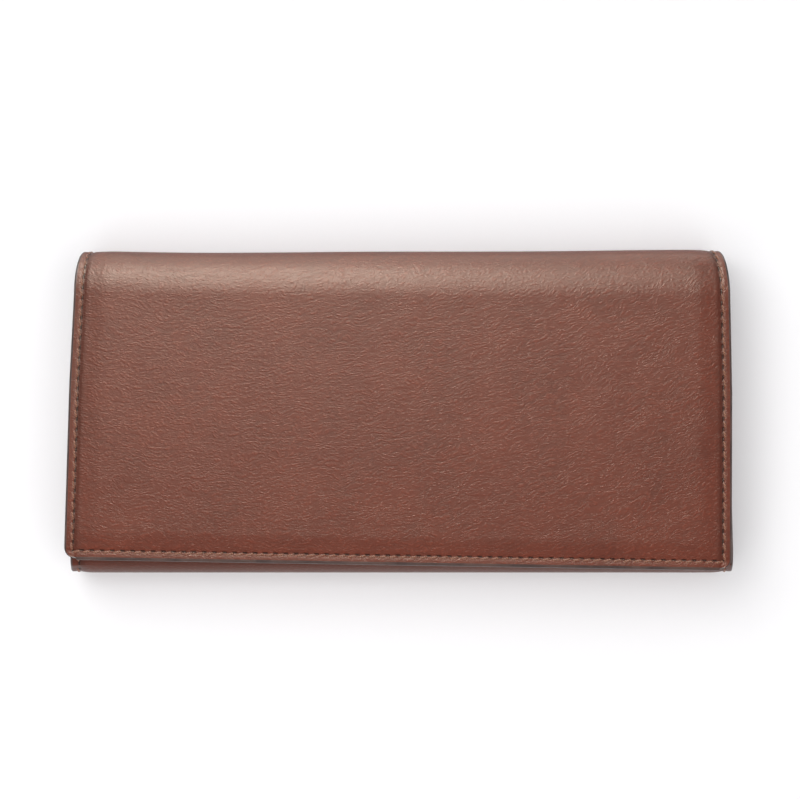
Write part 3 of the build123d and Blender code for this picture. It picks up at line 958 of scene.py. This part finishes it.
POCKET_CORNER = 3.0
POCKET_SEAM = 1.6  # from a wall's edge to its stitches
STRIP_HALF = 0.25  # half the thickness of the strip that joins the walls
TAPE_HALF = 0.2
pocket_lines = []
for place_name, face in (("rear", -1), ("front", 1)):
    lo, hi = node_box(f"coin_wall_{place_name}")
    half = (hi.z - lo.z) / 2

    def wall_face(ga, gb, low=lo, high=hi, face=face):
        margin = np.minimum.reduce([ga - low.y, high.x - np.abs(gb), high.y - ga])
        groove = -0.09 * bump(margin, POCKET_SEAM, 0.5) * face
        swell = 0.12 * smooth(3.0, 22.0, margin) * face
        x = round_corners(ga, gb, low.y, POCKET_CORNER)
        return np.stack([x, ga, (low.z + high.z) / 2 - 0.12 * face + groove + swell], -1)

    wall_piece = sheet_piece(f"pocket_wall_{place_name}", edged(lo.y, hi.y, 0.8, half),
                             edged(lo.x, hi.x, 0.9, half), wall_face, half - 0.06, INNER)
    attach(wall_piece, "coin_pocket")
    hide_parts(f"coin_wall_{place_name}")
    level = (hi.z if face > 0 else lo.z) - 0.22 * face
    left, right = lo.x + POCKET_SEAM, hi.x - POCKET_SEAM
    corners = [(left, hi.y - POCKET_SEAM), (left, lo.y + POCKET_CORNER),
               (lo.x + POCKET_CORNER, lo.y + POCKET_SEAM), (hi.x - POCKET_CORNER, lo.y + POCKET_SEAM),
               (right, lo.y + POCKET_CORNER), (right, hi.y - POCKET_SEAM)]
    line = [(x, y, level) for x, y in corners + corners[:1]]
    pocket_lines.append(along_line(line, [(0, 0, face)] * len(line), PITCH))
pocket_stitches = stitch_run("pocket_stitches", pocket_lines, radius=0.22, dip=0.26)
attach(pocket_stitches, "coin_pocket")


def bend_path(points, radius):
    """A polyline with rounded corners, sampled along its length: positions by length."""
    points = [np.array(v, float) for v in points]
    out = [points[0]]
    for before, corner, after in zip(points, points[1:], points[2:]):
        a = before - corner
        b = after - corner
        cut = min(radius, np.linalg.norm(a) * 0.45, np.linalg.norm(b) * 0.45)
        a, b = corner + a / np.linalg.norm(a) * cut, corner + b / np.linalg.norm(b) * cut
        for t in np.linspace(0.0, 1.0, 7):
            out.append((1 - t) ** 2 * a + 2 * t * (1 - t) * corner + t**2 * b)
    out.append(points[-1])
    out = np.array(out)
    run = np.concatenate([[0.0], np.cumsum(np.linalg.norm(np.diff(out, axis=0), axis=1))])
    return run[-1], lambda v: np.stack([np.interp(v, run, out[:, 0]), np.interp(v, run, out[:, 1])], -1)


lo, hi = node_box("coin_gusset")
half = STRIP_HALF
girth, round_pocket = bend_path([(lo.x + half, hi.y), (lo.x + half, lo.y + half),
                                 (hi.x - half, lo.y + half), (hi.x - half, hi.y)], POCKET_CORNER)


def strip_face(ga, gb):
    """The pocket's end and bottom strip, creased outwards along its middle."""
    flat = round_pocket(ga)
    ahead = np.gradient(flat, axis=0)
    ahead /= np.maximum(1e-9, np.linalg.norm(ahead, axis=-1))[..., None]
    level = (lo.z + hi.z) / 2
    swell = 0.5 * (1 - np.abs(gb - level) / (hi.z - level)) ** 0.7 - 0.15
    return np.concatenate([flat + np.stack([ahead[..., 1], -ahead[..., 0]], -1) * swell[..., None],
                           gb[..., None]], -1)


pocket_strip = sheet_piece("pocket_strip", edged(0.0, girth, 0.9, half), edged(lo.z, hi.z, 0.45, half),
                           strip_face, half, INNER)
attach(pocket_strip, "coin_pocket")
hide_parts("coin_gusset")

# zip tapes: woven, folded down behind each wall, with a corded edge along the teeth
for place_name, face in (("rear", -1), ("front", 1)):
    lo, hi = node_box(f"zip_tape_{place_name}")
    half = TAPE_HALF
    inner_z = lo.z if face > 0 else hi.z
    outer_z = (hi.z - half) if face > 0 else (lo.z + half)
    width, tape_path = bend_path([(hi.y - half, inner_z), (hi.y - half, outer_z), (lo.y, outer_z)], 0.9)

    def tape_face(ga, gb, tape_path=tape_path):
        return np.concatenate([gb[..., None], tape_path(ga)], -1)

    tape = sheet_piece(f"tape_{place_name}", edged(0.0, width, 0.35, half),
                       edged(lo.x, hi.x, 1.2, half), tape_face, half, TAPE)
    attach(tape, "coin_pocket")
    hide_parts(f"zip_tape_{place_name}")

# side gussets: strips folded inwards, sewn to a wall and to the coin pocket
GUSSET_HALF = 0.25
GUSSET_SEWN = 1.4  # the width sewn to the strap's wall
POCKET_SEWN = 1.5  # and to the coin pocket
pocket_low, pocket_high = node_box("coin_wall_rear")
pocket_reach = pocket_high.x
strips_top = node_box("card_strip_4")[1].z
for place_name in ("rear", "front"):
    for end_name, side in (("left", -1), ("right", 1)):
        node = f"gusset_{place_name}_{end_name}"
        lo, hi = node_box(node)
        rear = place_name == "rear"
        outer = max(abs(lo.x), abs(hi.x))
        tip = min(abs(lo.x), abs(hi.x)) + GUSSET_HALF
        inward = GUSSET_HALF if rear else -GUSSET_HALF
        near = (lo.z if rear else hi.z) + inward
        far = (hi.z if rear else lo.z) - inward
        tip_level = (strips_top + pocket_low.z) / 2 if rear else (near + far) / 2
        fold = [(side * outer, near), (side * (outer - GUSSET_SEWN), near), (side * tip, tip_level),
                (side * (pocket_reach - POCKET_SEWN), far), (side * pocket_reach, far)]
        length, fold_path = bend_path(fold, 1.0)

        def gusset_face(ga, gb, fold_path=fold_path):
            flat = fold_path(gb)
            return np.stack([flat[..., 0], ga, flat[..., 1]], -1)

        piece = sheet_piece(f"side_{node}", edged(lo.y, hi.y, 0.9, GUSSET_HALF),
                            edged(0.0, length, 0.35, GUSSET_HALF), gusset_face, GUSSET_HALF, INNER)
        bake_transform(piece)
        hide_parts(node)

# the bottom turn's lining
lo, hi = node_box("bottom_lining")
half = (hi.y - lo.y) / 2


def turn_face(ga, gb):
    level = (lo.z + hi.z) / 2
    bow = np.cos((ga - level) / (hi.z - level) * math.pi / 2)
    return np.stack([gb, (lo.y + hi.y) / 2 - 0.1 + 0.2 * bow, ga], -1)


turn_liner = sheet_piece("turn_liner", edged(lo.z, hi.z, 0.6, half), edged(lo.x, hi.x, 1.5, half),
                         turn_face, half, LINER)
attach(turn_liner, "back")
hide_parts("bottom_lining")

# ---- finishes on the CAD nodes that stay
for node, material in (
    ("front_keepers", STEEL), ("flap_magnets", STEEL), ("back_board", BOARD), ("front_board", BOARD),
    ("zip_teeth_rear", BRASS), ("zip_teeth_front", BRASS), ("zip_stops", BRASS), ("zip_slider", BRASS),
    ("zip_pull", BRASS),
):
    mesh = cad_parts[node].data
    mesh.materials.clear()
    mesh.materials.append(material)

# ---- floor, light and camera
floor_mesh = bpy.data.meshes.new("floor")
FLOOR_HALF = 1.5
FLOOR = -0.0004
floor_corners = [(x * FLOOR_HALF, y * FLOOR_HALF, FLOOR) for x, y in ((-1, -1), (1, -1), (1, 1), (-1, 1))]
floor_mesh.from_pydata(floor_corners, [], [(0, 1, 2, 3)])
floor = bpy.data.objects.new("floor", floor_mesh)
scene.collection.objects.link(floor)
floor_nodes = Nodes("floor")
floor_nodes.bsdf.inputs["Base Color"].default_value = (0.75, 0.745, 0.755, 1.0)
floor_nodes.bsdf.inputs["Emission Color"].default_value = (1.0, 0.99, 1.0, 1.0)
floor_nodes.bsdf.inputs["Emission Strength"].default_value = 0.195
floor_nodes.bsdf.inputs["Roughness"].default_value = 0.9
floor_nodes.bsdf.inputs["Specular IOR Level"].default_value = 0.0
floor_mesh.materials.append(floor_nodes.mat)

# a sky that is pale at the horizon and dim overhead
world = bpy.data.worlds.new("world")
scene.world = world
world.use_nodes = True
sky = world.node_tree
sky_place = sky.nodes.new("ShaderNodeTexCoord")
sky_split = sky.nodes.new("ShaderNodeSeparateXYZ")
sky_range = sky.nodes.new("ShaderNodeMapRange")
sky_range.inputs["From Min"].default_value = 0.25
sky_range.inputs["From Max"].default_value = 0.95
sky_range.inputs["To Min"].default_value = 0.58
sky_range.inputs["To Max"].default_value = 0.05
sky.links.new(sky_place.outputs["Generated"], sky_split.inputs[0])
sky.links.new(sky_split.outputs[2], sky_range.inputs["Value"])
sky.links.new(sky_range.outputs[0], sky.nodes["Background"].inputs["Strength"])
sky.nodes["Background"].inputs["Color"].default_value = (1.0, 0.99, 1.0, 1.0)


def soft_light(name, place, target, size, power, colour=(1, 1, 1), glossy=True, diffuse=True):
    data = bpy.data.lights.new(name, "AREA")
    data.shape = "RECTANGLE"
    data.size, data.size_y = size
    data.energy = power
    data.color = colour
    obj = bpy.data.objects.new(name, data)
    scene.collection.objects.link(obj)
    obj.location = place
    obj.visible_glossy = glossy
    obj.visible_diffuse = diffuse
    obj.rotation_euler = (Vector(target) - Vector(place)).to_track_quat("-Z", "Y").to_euler()
    return obj


# two lights make the gloss and two light the colours
soft_light("softbox", (-0.075, 0.37, 0.52), (-0.04, 0.02, 0), (0.12, 0.44), 5.6, (0.94, 1.0, 0.98),
           diffuse=False)
soft_light("back_wall", (-0.05, 0.9, 0.12), (-0.01, 0, 0), (1.0, 0.22), 5.2, (0.96, 1.0, 1.0),
           diffuse=False)
soft_light("window", (-0.36, 0.45, 0.88), (0, 0, 0), (0.8, 0.7), 5.6, glossy=False)
soft_light("ceiling", (0.0, -0.3, 1.3), (0, 0, 0), (1.8, 1.6), 15.3, glossy=False)

camera_data = bpy.data.cameras.new("camera")
camera = bpy.data.objects.new("camera", camera_data)
scene.collection.objects.link(camera)
DISTANCE = 1.0  # above the flap
VIEW_WIDTH = 0.2269  # what the view's width covers at the flap's level
SENSOR = 36.0
camera_data.sensor_width = SENSOR
camera_data.lens = SENSOR * DISTANCE / VIEW_WIDTH
camera_data.clip_start = 0.05
camera.location = (-0.0005, 0.0036, TOP * MM + DISTANCE)
scene.camera = camera
